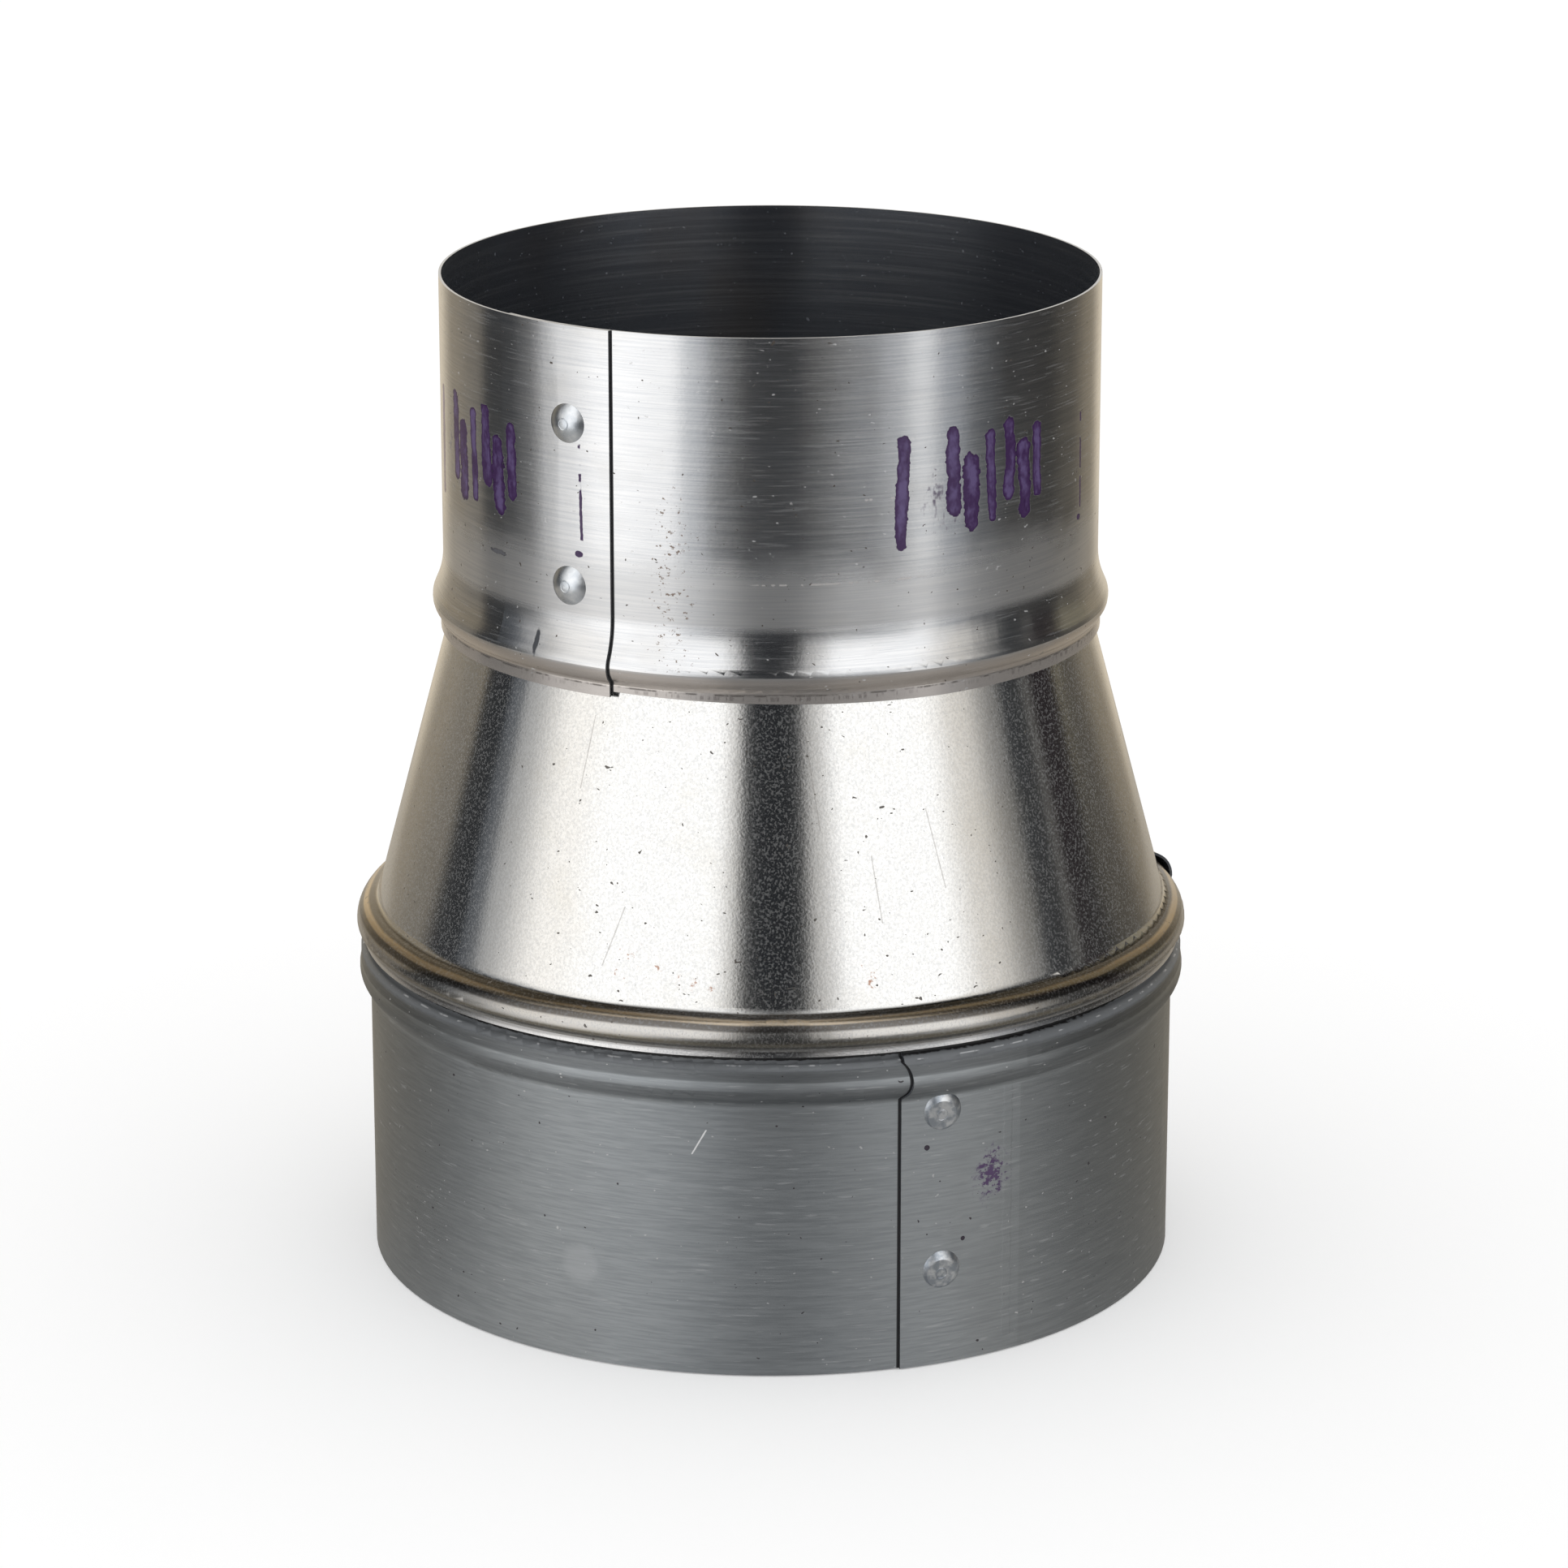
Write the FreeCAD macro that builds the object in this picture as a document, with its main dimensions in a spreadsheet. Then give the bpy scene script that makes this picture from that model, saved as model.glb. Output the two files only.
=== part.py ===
import FreeCAD, Part
import math
import os
import Sketcher

# Duct reducer, 5 inch to 4 inch, made of three rolled and riveted sheets.
# Millimetres. The axis is Z, the large rim stands on Z = 0, the front faces -Y.
# Each sheet is drawn by the line of its inner face, from the top down.
# Beads hold the sheets together: each one traps the flared neck of the next.

V = FreeCAD.Vector
document = FreeCAD.newDocument("duct_reducer")

# Named sizes.

SIZES = {
    "sheet_thickness": 0.4,
    "lap_gap": 0.06,
    "joint_gap": 0.14,
    "blend_angle": 40.0,
    "layer_allowance": 1.5,
    "large_collar_height": 51.5,
    "taper_height": 50.8,
    "small_collar_height": 55.9,
    "large_bore_radius": 63.75,
    "small_bore_radius": 51.0,
    "small_flange_length": 1.9,
    "small_flange_spread": 0.5,
    "small_bead_lower_run": 2.8,
    "small_bead_upper_run": 7.4,
    "small_bead_height": 1.73,
    "small_bead_crest_bend": 2.3,
    "small_lap_angle": 22.0,
    "small_edge_angle": -117.3,
    "small_rivet_from_edge": 8.2,
    "small_rivet_below_rim": 14.8,
    "small_rivet_above_bead": 4.1,
    "small_foot_rise": 0.8,
    "small_foot_run": 57.0,
    "taper_neck_inset": 1.41,
    "taper_flare_below_bead": 0.6,
    "taper_flare_reach": 1.46,
    "taper_flare_height": 2.8,
    "taper_bead_upper_run": 4.4,
    "taper_bead_reach": 3.61,
    "taper_bead_depth": 1.15,
    "taper_bead_lower_run": 1.6,
    "taper_bead_upper_bend": 3.2,
    "taper_bead_lower_bend": 0.45,
    "taper_lip_length": 0.9,
    "taper_lip_spread": 0.15,
    "taper_lap_angle": 19.0,
    "taper_edge_angle": 15.0,
    "taper_rivet_from_edge": 6.5,
    "taper_rivet_below_neck": 11.6,
    "taper_rivet_above_crease": 11.6,
    "taper_spring_angle": 5.0,
    "taper_spring_lift": 1.2,
    "taper_spring_crease_rise": 2.0,
    "neck_inset": 0.15,
    "neck_end_below_lip": 0.35,
    "neck_flare_above_valley": 0.6,
    "neck_flare_reach": 1.15,
    "neck_flare_height": 2.3,
    "shoulder_step": 0.25,
    "shoulder_below_lip": 1.95,
    "shoulder_band": 1.15,
    "shoulder_bend": 0.5,
    "stop_bead_upper_run": 2.1,
    "stop_bead_lower_run": 3.3,
    "stop_bead_height": 1.7,
    "stop_bead_upper_bend": 3.0,
    "stop_bead_lower_bend": 1.9,
    "stop_notch_reach": 1.4,
    "stop_notch_length": 6.2,
    "stop_notch_above_crest": 0.5,
    "large_lap_angle": 16.8,
    "large_edge_angle": -72.2,
    "large_rivet_from_edge": 6.0,
    "large_rivet_below_bead": 2.0,
    "large_rivet_above_rim": 15.4,
    "rivet_head_radius": 3.0,
    "rivet_head_height": 1.1,
    "rivet_ring_radius": 0.85,
    "rivet_ring_depth": 0.1,
    "rivet_flat_radius": 2.3,
    "rivet_flat_tilt": 8.0,
    "rivet_inner_head_radius": 2.4,
    "rivet_inner_head_height": 0.34,
    "rivet_shank_radius": 1.55,
    "rivet_hole_clearance": 0.08,
    "seat_gap": 0.01,
}

# Places that follow from the sizes. Radii are those of the inner face, heights
# are counted from the large rim.

DERIVED = {
    "rim": "=0",
    "layer_offset": "=sheet_thickness + lap_gap",
    "lap_thickness": "=2 * sheet_thickness + lap_gap",
    "taper_lip_end": "=large_collar_height",
    "small_flange_end": "=taper_lip_end + taper_height",
    "total_height": "=small_flange_end + small_collar_height",
    "small_bead_bottom": "=small_flange_end + small_flange_length",
    "small_bead_crest": "=small_bead_bottom + small_bead_lower_run",
    "small_bead_top": "=small_bead_crest + small_bead_upper_run",
    "small_bead_radius": "=small_bore_radius + small_bead_height",
    "small_flange_radius": "=small_bore_radius + small_flange_spread",
    "small_rivet_top": "=total_height - small_rivet_below_rim",
    "small_rivet_bottom": "=small_bead_top + small_rivet_above_bead",
    "neck_radius": "=large_bore_radius - neck_inset",
    "taper_valley_radius": "=neck_radius + lap_thickness + joint_gap",
    "taper_valley": "=taper_lip_end + taper_lip_length",
    "taper_lip_radius": "=taper_valley_radius + taper_lip_spread",
    "taper_bead_radius": "=taper_valley_radius + taper_bead_depth",
    "taper_bead_crest": "=taper_valley + taper_bead_lower_run",
    "taper_crease_radius": "=taper_bead_radius - taper_bead_reach",
    "taper_crease": "=taper_bead_crest + taper_bead_upper_run",
    "taper_neck_radius": "=small_flange_radius - taper_neck_inset",
    "taper_flare_start": "=small_bead_bottom - taper_flare_below_bead",
    "taper_slope": "=(taper_crease_radius - taper_neck_radius) / (taper_flare_start - taper_crease)",
    "taper_sprung_crease": "=taper_crease + taper_spring_crease_rise",
    "taper_sprung_crease_radius": "=taper_crease_radius - taper_spring_crease_rise * taper_slope",
    "taper_sprung_bead_radius": "=taper_bead_radius + taper_spring_lift",
    "taper_tip_radius": "=taper_neck_radius + taper_flare_reach",
    "taper_tip": "=taper_flare_start + taper_flare_height",
    "taper_rivet_top": "=taper_flare_start - taper_rivet_below_neck",
    "taper_rivet_bottom": "=taper_crease + taper_rivet_above_crease",
    "neck_end": "=taper_lip_end - neck_end_below_lip",
    "neck_flare_start": "=taper_valley + neck_flare_above_valley",
    "neck_tip_radius": "=neck_radius + neck_flare_reach",
    "neck_tip": "=neck_flare_start + neck_flare_height",
    "stop_bead_radius": "=large_bore_radius + stop_bead_height",
    "shoulder_radius": "=stop_bead_radius - shoulder_step",
    "shoulder": "=taper_lip_end - shoulder_below_lip",
    "shoulder_end": "=shoulder - shoulder_band",
    "stop_bead_crest": "=shoulder_end - stop_bead_upper_run",
    "stop_bead_bottom": "=stop_bead_crest - stop_bead_lower_run",
    "large_rivet_top": "=stop_bead_bottom - large_rivet_below_bead",
    "large_rivet_bottom": "=large_rivet_above_rim",
}

sheet = document.addObject("Spreadsheet::Sheet", "dims")
for row, (name, value) in enumerate(list(SIZES.items()) + list(DERIVED.items()), start=1):
    sheet.set("A%d" % row, name)
    sheet.set("B%d" % row, str(value))
    sheet.setAlias("B%d" % row, name)
document.recompute()


def size(name):
    return float(sheet.get(name))


# Lines of the inner face, drawn with sketches.
# Every corner point is held by its radius and height, every bend is tangent.

def new_line(name):
    sketch = document.addObject("Sketcher::SketchObject", name)
    sketch.Placement = FreeCAD.Placement(V(0, 0, 0), FreeCAD.Rotation(V(1, 0, 0), 90))
    return sketch


def bind(sketch, constraint, expression):
    index = sketch.addConstraint(constraint)
    sketch.setExpression("Constraints[%d]" % index, expression)
    return index


def pin(sketch, geometry, point, radius_name, height_name):
    radius = size(radius_name)
    height = size(height_name)
    bind(sketch, Sketcher.Constraint("DistanceX", -1, 1, geometry, point, radius), "dims." + radius_name)
    if height_name == "rim":
        sketch.addConstraint(Sketcher.Constraint("PointOnObject", geometry, point, -1))
    else:
        bind(sketch, Sketcher.Constraint("DistanceY", -1, 1, geometry, point, height), "dims." + height_name)


def add_line(sketch, start, end):
    return sketch.addGeometry(Part.LineSegment(V(start[0], start[1], 0), V(end[0], end[1], 0)))


# An arc is drawn between two points round a centre; the returned pair tells
# which end of the arc is its start on the way down and which one is its end.

def add_arc(sketch, centre, start, end):
    a0 = math.atan2(start[1] - centre[1], start[0] - centre[0])
    a1 = math.atan2(end[1] - centre[1], end[0] - centre[0])
    radius = math.hypot(start[0] - centre[0], start[1] - centre[1])
    turn = (a1 - a0) % (2 * math.pi)
    circle = Part.Circle(V(centre[0], centre[1], 0), V(0, 0, 1), radius)
    if turn <= math.pi:
        index = sketch.addGeometry(Part.ArcOfCircle(circle, a0, a0 + turn))
        return index, 1, 2
    index = sketch.addGeometry(Part.ArcOfCircle(circle, a1, a1 + 2 * math.pi - turn))
    return index, 2, 1


# A double bend between two upright stretches. The bend radius named belongs to
# the end of larger radius, the crest; the other bend takes what is left.

def double_bend(sketch, previous, start_names, end_names, bend_name, start_direction=0.0):
    start = (size(start_names[0]), size(start_names[1]))
    end = (size(end_names[0]), size(end_names[1]))
    bend = size(bend_name)
    outward = end[0] > start[0]
    crest = end if outward else start
    foot = start if outward else end
    crest_centre = (crest[0] - bend, crest[1])
    normal = (math.cos(start_direction), math.sin(start_direction))
    way = (foot[0] - crest_centre[0], foot[1] - crest_centre[1])
    along = way[0] * normal[0] + way[1] * normal[1]
    foot_bend = (way[0] ** 2 + way[1] ** 2 - bend ** 2) / (2 * (bend - along))
    foot_centre = (foot[0] + foot_bend * normal[0], foot[1] + foot_bend * normal[1])
    share = bend / (bend + foot_bend)
    middle = (
        crest_centre[0] + share * (foot_centre[0] - crest_centre[0]),
        crest_centre[1] + share * (foot_centre[1] - crest_centre[1]),
    )
    first_centre = foot_centre if outward else crest_centre
    second_centre = crest_centre if outward else foot_centre
    first, first_start, first_end = add_arc(sketch, first_centre, start, middle)
    second, second_start, second_end = add_arc(sketch, second_centre, middle, end)
    sketch.addConstraint(Sketcher.Constraint("Tangent", previous[0], previous[1], first, first_start))
    sketch.addConstraint(Sketcher.Constraint("Tangent", first, first_end, second, second_start))
    pin(sketch, second, second_end, end_names[0], end_names[1])
    crest_arc = second if outward else first
    bind(sketch, Sketcher.Constraint("Radius", crest_arc, bend), "dims." + bend_name)
    if outward:
        bind(sketch, Sketcher.Constraint("DistanceY", -1, 1, crest_arc, 3, crest[1]), "dims." + end_names[1])
    return second, second_end


def line_on(sketch, previous, start_names, end_names, tangent):
    start = (size(start_names[0]), size(start_names[1]))
    end = (size(end_names[0]), size(end_names[1]))
    index = add_line(sketch, start, end)
    kind = "Tangent" if tangent else "Coincident"
    sketch.addConstraint(Sketcher.Constraint(kind, previous[0], previous[1], index, 1))
    return index


# A flared edge: one bend from its free tip, tangent to the stretch below it.

def flared_edge(sketch, tip_names, start_names, direction):
    tip = (size(tip_names[0]), size(tip_names[1]))
    start = (size(start_names[0]), size(start_names[1]))
    normal = (math.cos(direction), math.sin(direction))
    chord = (tip[0] - start[0], tip[1] - start[1])
    along = chord[0] * normal[0] + chord[1] * normal[1]
    bend = (chord[0] ** 2 + chord[1] ** 2) / (2 * along)
    centre = (start[0] + bend * normal[0], start[1] + bend * normal[1])
    index, arc_start, arc_end = add_arc(sketch, centre, tip, start)
    pin(sketch, index, arc_start, tip_names[0], tip_names[1])
    pin(sketch, index, arc_end, start_names[0], start_names[1])
    return index, arc_end


# Small collar: wall, bead, short flange.

small_line = new_line("small_collar_line")
wall = add_line(small_line, (size("small_bore_radius"), size("total_height")),
                (size("small_bore_radius"), size("small_bead_top")))
pin(small_line, wall, 1, "small_bore_radius", "total_height")
pin(small_line, wall, 2, "small_bore_radius", "small_bead_top")
at = double_bend(small_line, (wall, 2), ("small_bore_radius", "small_bead_top"),
                 ("small_bead_radius", "small_bead_crest"), "small_bead_crest_bend")
at = double_bend(small_line, at, ("small_bead_radius", "small_bead_crest"),
                 ("small_flange_radius", "small_bead_bottom"), "small_bead_crest_bend")
flange = line_on(small_line, at, ("small_flange_radius", "small_bead_bottom"),
                 ("small_flange_radius", "small_flange_end"), True)
bind(small_line, Sketcher.Constraint("DistanceY", -1, 1, flange, 2, size("small_flange_end")),
     "dims.small_flange_end")
small_line.addConstraint(Sketcher.Constraint("Vertical", flange))

# Taper: flared neck, conical wall, crease, bead, lip.

# The end of its lap has sprung open over the crease, which is the second line.

slope = math.atan(size("taper_slope"))


def taper_profile(name, crease_names, bead_radius_name):
    line = new_line(name)
    bead_names = (bead_radius_name, "taper_bead_crest")
    end = flared_edge(line, ("taper_tip_radius", "taper_tip"),
                      ("taper_neck_radius", "taper_flare_start"), slope)
    cone = line_on(line, end, ("taper_neck_radius", "taper_flare_start"), crease_names, True)
    pin(line, cone, 2, crease_names[0], crease_names[1])
    end = double_bend(line, (cone, 2), crease_names, bead_names, "taper_bead_upper_bend", slope)
    end = double_bend(line, end, bead_names, ("taper_valley_radius", "taper_valley"),
                      "taper_bead_lower_bend")
    lip = line_on(line, end, ("taper_valley_radius", "taper_valley"),
                  ("taper_lip_radius", "taper_lip_end"), False)
    pin(line, lip, 2, "taper_lip_radius", "taper_lip_end")
    return line


taper_line = taper_profile("taper_line", ("taper_crease_radius", "taper_crease"), "taper_bead_radius")
sprung_line = taper_profile("taper_sprung_line", ("taper_sprung_crease_radius", "taper_sprung_crease"),
                            "taper_sprung_bead_radius")

# Large collar: flared neck, shoulder, stop bead, wall.

large_line = new_line("large_collar_line")
at = flared_edge(large_line, ("neck_tip_radius", "neck_tip"), ("neck_radius", "neck_flare_start"), 0.0)
neck = line_on(large_line, at, ("neck_radius", "neck_flare_start"), ("neck_radius", "neck_end"), True)
pin(large_line, neck, 2, "neck_radius", "neck_end")
at = double_bend(large_line, (neck, 2), ("neck_radius", "neck_end"),
                 ("shoulder_radius", "shoulder"), "shoulder_bend")
band = line_on(large_line, at, ("shoulder_radius", "shoulder"), ("shoulder_radius", "shoulder_end"), True)
bind(large_line, Sketcher.Constraint("DistanceY", -1, 1, band, 2, size("shoulder_end")),
     "dims.shoulder_end")
at = double_bend(large_line, (band, 2), ("shoulder_radius", "shoulder_end"),
                 ("stop_bead_radius", "stop_bead_crest"), "stop_bead_upper_bend")
at = double_bend(large_line, at, ("stop_bead_radius", "stop_bead_crest"),
                 ("large_bore_radius", "stop_bead_bottom"), "stop_bead_lower_bend")
wall = line_on(large_line, at, ("large_bore_radius", "stop_bead_bottom"), ("large_bore_radius", "rim"), True)
large_line.addConstraint(Sketcher.Constraint("Vertical", wall))
large_line.addConstraint(Sketcher.Constraint("PointOnObject", wall, 2, -1))
document.recompute()


# Rolled sheets. One sheet runs almost round, blends out by one layer and laps
# over its own first edge. Angles run from that edge, which the lap hides, and
# the layer allowance is how much earlier the blend ends than the lap begins.

def offset_of(source, name, value, fill):
    offset = document.addObject("Part::Offset2D", name)
    offset.Source = source
    offset.Mode = "Skin"
    offset.Join = "Intersection"
    offset.Fill = fill
    offset.setExpression("Value", value)
    return offset


def turned(source, name, angle):
    holder = document.addObject("Part::Compound", name)
    holder.Links = [source]
    holder.Placement = FreeCAD.Placement(V(0, 0, 0), FreeCAD.Rotation(V(0, 0, 1), 1))
    holder.setExpression("Placement.Rotation.Angle", angle)
    return holder


def revolved(source, name, angle, side):
    turn = document.addObject("Part::Revolution", name)
    turn.Source = source
    turn.Axis = V(0, 0, side)
    turn.Base = V(0, 0, 0)
    turn.Solid = True
    turn.setExpression("Angle", angle)
    return turn


BLEND_STEPS = 6


def sheet_loft(name, sections):
    loft = document.addObject("Part::Loft", name)
    loft.Sections = sections
    loft.Solid = True
    loft.Ruled = False
    return loft


def rolled_sheet(prefix, line, side, lap_name, open_line, open_angle):
    section = offset_of(line, prefix + "_section", "dims.sheet_thickness", True)
    start = "(360 - dims.blend_angle - dims.layer_allowance)"
    main = revolved(section, prefix + "_round", "(%s) * 1 deg" % start, side)
    holders = []
    for step in range(BLEND_STEPS + 1):
        share = step / BLEND_STEPS
        eased = share * share * (3 - 2 * share)
        if step:
            layer_line = offset_of(line, "%s_blend_line_%d" % (prefix, step),
                                   "dims.layer_offset * %.6f" % eased, False)
            layer = offset_of(layer_line, "%s_blend_section_%d" % (prefix, step),
                              "dims.sheet_thickness", True)
        else:
            layer = section
        angle = "(%s + dims.blend_angle * %.6f) * %d deg" % (start, share, side)
        holders.append(turned(layer, "%s_blend_%d" % (prefix, step), angle))
    document.recompute()
    blend = sheet_loft(prefix + "_blend", holders)
    outer = revolved(holders[-1], prefix + "_outer_layer",
                     "(dims.%s + dims.layer_allowance - %s) * 1 deg" % (lap_name, open_angle), side)
    pieces = [main, blend, outer]
    if open_line:
        open_edge = offset_of(open_line, prefix + "_open_line", "dims.layer_offset", False)
        open_section = offset_of(open_edge, prefix + "_open_section", "dims.sheet_thickness", True)
        last = "dims.%s * %d deg" % (lap_name, side)
        first = "(dims.%s - %s) * %d deg" % (lap_name, open_angle, side)
        ends = [turned(layer, prefix + "_open_start", first), turned(open_section, prefix + "_open_end", last)]
        document.recompute()
        pieces.append(sheet_loft(prefix + "_open", ends))
    whole = document.addObject("Part::MultiFuse", prefix + "_rolled")
    whole.Shapes = pieces
    whole.Refine = True
    return whole


# Rivets. A rivet is drawn along +X at the hidden first edge and turned from there.
# The heads are trimmed to the round of the sheets they sit on and carry the ring
# of the setting punch. Those of the large collar are struck flat, a little askew.

STRUCK = FreeCAD.Rotation(V(0.5, 0.85, 0), size("rivet_flat_tilt"))
STRAIGHT = FreeCAD.Rotation()


def placed(thing, across, up, tilt, turn, askew=STRAIGHT):
    lean = FreeCAD.Rotation(V(0, 1, 0), 90 - tilt).multiply(askew)
    around = FreeCAD.Placement(V(0, 0, 0), FreeCAD.Rotation(V(0, 0, 1), turn))
    thing.Placement = around.multiply(FreeCAD.Placement(V(across, 0, up), lean))


def rivet_point(radius, height, tilt, depth):
    a = math.radians(tilt)
    return radius + depth * math.cos(a), height + depth * math.sin(a)


def rivet_hole(name, radius, height, tilt, turn):
    hole = document.addObject("Part::Cylinder", name)
    hole.setExpression("Radius", "dims.rivet_shank_radius + dims.rivet_hole_clearance")
    hole.Height = 8
    across, up = rivet_point(radius, height, tilt, -4)
    placed(hole, across, up, tilt, turn)
    return hole


def cap(name, radius_name, height_name, radius, height, tilt, turn, depth, outward):
    a = size(radius_name)
    h = size(height_name)
    ball = (a * a + h * h) / (2 * h)
    dome = document.addObject("Part::Sphere", name)
    rule = "(dims.%s ^ 2 + dims.%s ^ 2) / (2 * dims.%s)" % (radius_name, height_name, height_name)
    dome.setExpression("Radius", rule)
    dome.setExpression("Angle1", "asin(1 - (dims.%s + 0.15) / (%s))" % (height_name, rule))
    dome.Angle2 = 90
    reach = depth + (h - ball) if outward else depth - (h - ball)
    across, up = rivet_point(radius, height, tilt, reach)
    placed(dome, across, up, tilt if outward else tilt + 180, turn)
    return dome


# The face cutter is a block that starts at the flat; a domed head has none.

def head_cutters(name, radius, height, tilt, turn, struck):
    a = size("rivet_head_radius")
    h = size("rivet_head_height")
    ball = (a * a + h * h) / (2 * h)
    reach = math.sqrt(ball ** 2 - size("rivet_flat_radius" if struck else "rivet_ring_radius") ** 2)
    askew = STRUCK if struck else STRAIGHT
    direction = FreeCAD.Rotation(V(0, 1, 0), 90 - tilt).multiply(askew).multVec(V(0, 0, 1))
    centre = rivet_point(radius, height, tilt, size("lap_thickness") + h - ball)
    middle = V(centre[0], 0, centre[1]) + direction * reach
    ring = document.addObject("Part::Torus", name + "_ring")
    ring.setExpression("Radius1", "dims.rivet_ring_radius")
    ring.setExpression("Radius2", "dims.rivet_ring_depth")
    cutters = [ring]
    if struck:
        block = document.addObject("Part::Cylinder", name + "_flat")
        block.setExpression("Radius", "dims.rivet_head_radius + 2")
        block.Height = 3
        cutters.append(block)
    for cutter in cutters:
        placed(cutter, 0, 0, tilt, 0, askew)
        around = FreeCAD.Placement(V(0, 0, 0), FreeCAD.Rotation(V(0, 0, 1), turn))
        cutter.Placement = around.multiply(FreeCAD.Placement(middle, cutter.Placement.Rotation))
    return cutters


def rivet(name, line_band, radius, height, tilt, turn, struck):
    outer = cap(name + "_outer_cap", "rivet_head_radius", "rivet_head_height",
                radius, height, tilt, turn, size("lap_thickness"), True)
    inner = cap(name + "_inner_cap", "rivet_inner_head_radius", "rivet_inner_head_height",
                radius, height, tilt, turn, 0, False)
    cutters = document.addObject("Part::Compound", name + "_cutters")
    cutters.Links = head_cutters(name, radius, height, tilt, turn, struck)
    seated = document.addObject("Part::Cut", name + "_seated_head")
    seated.Base = outer
    seated.Tool = line_band
    outer_head = document.addObject("Part::Cut", name + "_outer_head")
    outer_head.Base = seated
    outer_head.Tool = cutters
    inner_head = document.addObject("Part::Cut", name + "_inner_head")
    inner_head.Base = inner
    inner_head.Tool = line_band
    shank = document.addObject("Part::Cylinder", name + "_shank")
    shank.setExpression("Radius", "dims.rivet_shank_radius")
    shank.setExpression("Height", "dims.lap_thickness + 0.4")
    across, up = rivet_point(radius, height, tilt, -0.2)
    placed(shank, across, up, tilt, turn)
    whole = document.addObject("Part::MultiFuse", name)
    whole.Shapes = [outer_head, shank, inner_head]
    whole.Refine = True
    return whole


# The first end of the small collar is trimmed a little short at its foot, so that
# the outer layer hangs lower at the seam. A tilted block cuts only the inner layer.

def foot_trim():
    ring_line = document.addObject("Part::Plane", "foot_ring_section")
    ring_line.setExpression("Length", "dims.sheet_thickness + dims.lap_gap / 2 + 0.2")
    ring_line.Width = 3
    ring_line.Placement = FreeCAD.Placement(V(size("small_flange_radius") - 0.2, 0, size("small_flange_end") - 1),
                                            FreeCAD.Rotation(V(1, 0, 0), 90))
    ring = revolved(turned(ring_line, "foot_ring_start", "(-2) * 1 deg"), "foot_ring",
                    "(dims.small_lap_angle + dims.small_foot_run + 2) * 1 deg", 1)
    radius = size("small_flange_radius")
    seam = math.radians(size("small_lap_angle"))
    finish = seam + math.radians(size("small_foot_run"))
    low = V(radius * math.cos(finish), radius * math.sin(finish), size("small_flange_end"))
    high = V(radius * math.cos(seam), radius * math.sin(seam), size("small_flange_end") + size("small_foot_rise"))
    way = high - low
    across = V(0, 0, 1).cross(way)
    block = document.addObject("Part::Box", "foot_block")
    block.Length = 2 * way.Length
    block.Width = 2 * way.Length
    block.Height = 6
    turn = FreeCAD.Rotation(way, across, way.cross(across), "XYZ")
    corner = low + turn.multVec(V(0, -way.Length, -6))
    block.Placement = FreeCAD.Placement(corner, turn)
    trim = document.addObject("Part::MultiCommon", "foot_trim")
    trim.Shapes = [ring, block]
    return trim


# Rolling the stop bead draws the lap's outer edge back there into a shallow notch.
# The cutter takes in the outer layer and leaves the layer under it alone.

def edge_notch():
    start_line = offset_of(large_line, "notch_line", "dims.sheet_thickness + dims.lap_gap / 2", False)
    section = offset_of(start_line, "notch_section", "dims.layer_offset", True)
    strip = revolved(turned(section, "notch_start", "(3 - dims.large_lap_angle) * 1 deg"), "notch_strip",
                     "4 deg", -1)
    reach = size("stop_notch_reach")
    half = size("stop_notch_length") / 2
    radius = (reach * reach + half * half) / (2 * reach)
    beyond = math.degrees((radius - reach) / size("stop_bead_radius"))
    punch = document.addObject("Part::Cylinder", "notch_punch")
    punch.Radius = radius
    punch.setExpression("Height", "dims.stop_bead_radius + 10")
    around = FreeCAD.Placement(V(0, 0, 0), FreeCAD.Rotation(V(0, 0, 1), -(size("large_lap_angle") + beyond)))
    up = size("stop_bead_crest") + size("stop_notch_above_crest")
    punch.Placement = around.multiply(FreeCAD.Placement(V(0, 0, up), FreeCAD.Rotation(V(0, 1, 0), 90)))
    notch = document.addObject("Part::MultiCommon", "edge_notch")
    notch.Shapes = [strip, punch]
    return notch


def sheet_and_rivets(prefix, line, side, lap_name, edge_name, from_edge_name, rows, tilt, radius_at,
                     struck=False, trims=(), open_line=None, open_angle="0"):
    rolled = rolled_sheet(prefix, line, side, lap_name, open_line, open_angle)
    band_line = offset_of(line, prefix + "_seat_line", "0 - dims.seat_gap", False)
    band_section = offset_of(band_line, prefix + "_seat_section",
                             "dims.lap_thickness + 2 * dims.seat_gap", True)
    band = revolved(band_section, prefix + "_seat_round", "360 deg", side)
    turn = side * (size(lap_name) - size(from_edge_name))
    holes = document.addObject("Part::Compound", prefix + "_holes")
    rivets = []
    drilled = []
    for number, height_name in enumerate(rows, start=1):
        height = size(height_name)
        radius = radius_at(height)
        drilled.append(rivet_hole("%s_hole_%d" % (prefix, number), radius, height, tilt, turn))
        rivets.append(rivet("%s_rivet_%d" % (prefix, number), band, radius, height, tilt, turn, struck))
    holes.Links = drilled + list(trims)
    node = document.addObject("Part::Cut", prefix)
    node.Base = rolled
    node.Tool = holes
    node.Label = prefix
    group = document.addObject("Part::Compound", prefix + "_rivets")
    group.Links = rivets
    group.Label = prefix + "_rivets"
    first_edge = "dims.%s - %d * dims.%s" % (edge_name, side, lap_name)
    for thing in (node, group):
        thing.Placement = FreeCAD.Placement(V(0, 0, 0), FreeCAD.Rotation(V(0, 0, 1), 1))
        thing.setExpression("Placement.Rotation.Angle", "(%s) * 1 deg" % first_edge)
    return [node, group]


def taper_radius(height):
    return size("taper_crease_radius") - (height - size("taper_crease")) * math.tan(slope)


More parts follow.
